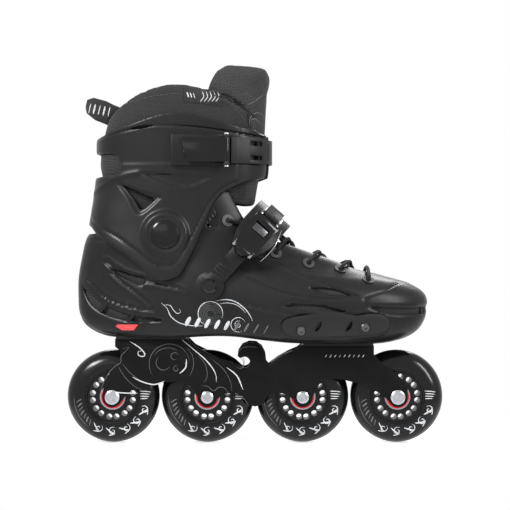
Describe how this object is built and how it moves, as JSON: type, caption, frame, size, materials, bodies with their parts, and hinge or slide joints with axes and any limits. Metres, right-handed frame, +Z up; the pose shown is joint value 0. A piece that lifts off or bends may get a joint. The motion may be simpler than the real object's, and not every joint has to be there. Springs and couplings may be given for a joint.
{
  "type": "inline skate",
  "caption": "Black inline skate for the right foot: hard boot, hinged cuff with a lever buckle, ratchet instep strap, laces, soft liner and an aluminium frame with wheels in a row",
  "frame": {"origin": "on the ground, under the middle of the wheelbase and in the wheels' middle plane", "axes": "+X towards the toe, +Y towards the inner side of the foot (the inside of the right leg), +Z up"},
  "size_m": [0.3248, 0.1147, 0.3239],
  "materials": {
    "shell": "satin moulded black",
    "cuff": "satin moulded black",
    "guard": "satin black",
    "screw": "black oxide",
    "insert": "gloss red",
    "liner": "woven black",
    "tongue": "mesh dark grey",
    "insole": "felt",
    "lace": "braided black",
    "eyelet": "dark nickel",
    "rivet": "polished",
    "nut": "zinc",
    "frame": "black anodised",
    "axle": "polished",
    "steel": "ground",
    "spacer": "turned",
    "pivot_screw": "gloss black cap",
    "tyre": "gloss black urethane",
    "core": "black nylon",
    "shield": "red",
    "strap": "flexible black",
    "pad": "padded black",
    "buckle_base": "dark grey",
    "lever": "gloss black",
    "pin": "polished",
    "ratchet_metal": "dark",
    "release": "grey",
    "webbing": "woven"
  },
  "bodies": {
    "boot": {"boot_shell": "shell", "toe_guard_outer": "guard", "toe_guard_inner": "guard", "guard_screws": "screw", "heel_inserts": "insert", "liner_lower": "liner", "tongue_lower": "tongue", "insole": "insole", "lace": "lace", "lace_eyelets": "eyelet", "strap_rivets": "rivet", "sole_nuts": "nut", "frame": "frame", "frame_bolts": "screw", "frame_washers": "nut", "axles": "axle", "bearing_spacers": "spacer", "bearing_inner_rings": "steel", "pivot_screws": "pivot_screw", "pivot_nuts": "nut"},
    "wheel_1": {"tyre_1": "tyre", "core_1": "core", "bearing_outer_rings_1": "steel", "bearing_shields_1": "shield", "bearing_balls_1": "steel"},
    "wheel_2": {"tyre_2": "tyre", "core_2": "core", "bearing_outer_rings_2": "steel", "bearing_shields_2": "shield", "bearing_balls_2": "steel"},
    "wheel_3": {"tyre_3": "tyre", "core_3": "core", "bearing_outer_rings_3": "steel", "bearing_shields_3": "shield", "bearing_balls_3": "steel"},
    "wheel_4": {"tyre_4": "tyre", "core_4": "core", "bearing_outer_rings_4": "steel", "bearing_shields_4": "shield", "bearing_balls_4": "steel"},
    "cuff": {"cuff": "cuff", "liner_upper": "liner", "tongue_upper": "tongue", "heel_loop": "webbing", "cuff_strap": "strap", "cuff_strap_rivets": "rivet", "cuff_buckle_base": "buckle_base", "cuff_buckle_pin": "pin", "cuff_strap_keeper": "strap"},
    "cuff_lever": {"cuff_buckle_lever": "lever"},
    "instep_strap": {"instep_ladder": "strap", "instep_pad": "pad", "ratchet_base": "ratchet_metal", "ratchet_pins": "pin", "ratchet_spring": "steel"},
    "ratchet_lever": {"ratchet_lever": "lever", "ratchet_pawl": "ratchet_metal"},
    "ratchet_release": {"ratchet_release": "release"}
  },
  "joints": [
    {"name": "cuff_flex", "type": "hinge", "parent": "boot", "child": "cuff", "pos_m": [-0.0753, 0, 0.1794], "axis": [0, 1, 0], "range_deg": [-3, 10], "stiffness_Nm_per_rad": 20, "deforming": ["tongue_upper", "liner_upper"]},
    {"name": "wheel_spin_1", "type": "hinge", "parent": "boot", "child": "wheel_1", "pos_m": [-0.1225, 0, 0.04], "axis": [0, 1, 0], "continuous": true},
    {"name": "wheel_spin_2", "type": "hinge", "parent": "boot", "child": "wheel_2", "pos_m": [-0.041, 0, 0.04], "axis": [0, 1, 0], "continuous": true},
    {"name": "wheel_spin_3", "type": "hinge", "parent": "boot", "child": "wheel_3", "pos_m": [0.041, 0, 0.04], "axis": [0, 1, 0], "continuous": true},
    {"name": "wheel_spin_4", "type": "hinge", "parent": "boot", "child": "wheel_4", "pos_m": [0.1225, 0, 0.04], "axis": [0, 1, 0], "continuous": true},
    {"name": "cuff_lever_open", "type": "hinge", "parent": "cuff", "child": "cuff_lever", "pos_m": [-0.024, -0.0484, 0.25], "axis": [0, 0, 1], "range_deg": [0, 100]},
    {"name": "instep_strap_swing", "type": "hinge", "parent": "boot", "child": "instep_strap", "pos_m": [-0.0381, 0, 0.136], "axis": [0, 1, 0], "range_deg": [-2, 2]},
    {"name": "ratchet_lever_lift", "type": "hinge", "parent": "instep_strap", "child": "ratchet_lever", "pos_m": [0.00969, -0.04354, 0.18907], "axis": [-0.7431, 0, 0.6691], "range_deg": [0, 50], "stiffness_Nm_per_rad": 0.05, "springref_deg": -17.19},
    {"name": "ratchet_release_press", "type": "hinge", "parent": "instep_strap", "child": "ratchet_release", "pos_m": [0.0149, -0.03888, 0.19486], "axis": [-0.7431, 0, 0.6691], "range_deg": [0, 15], "stiffness_Nm_per_rad": 0.05, "springref_deg": -11.46}
  ]
}
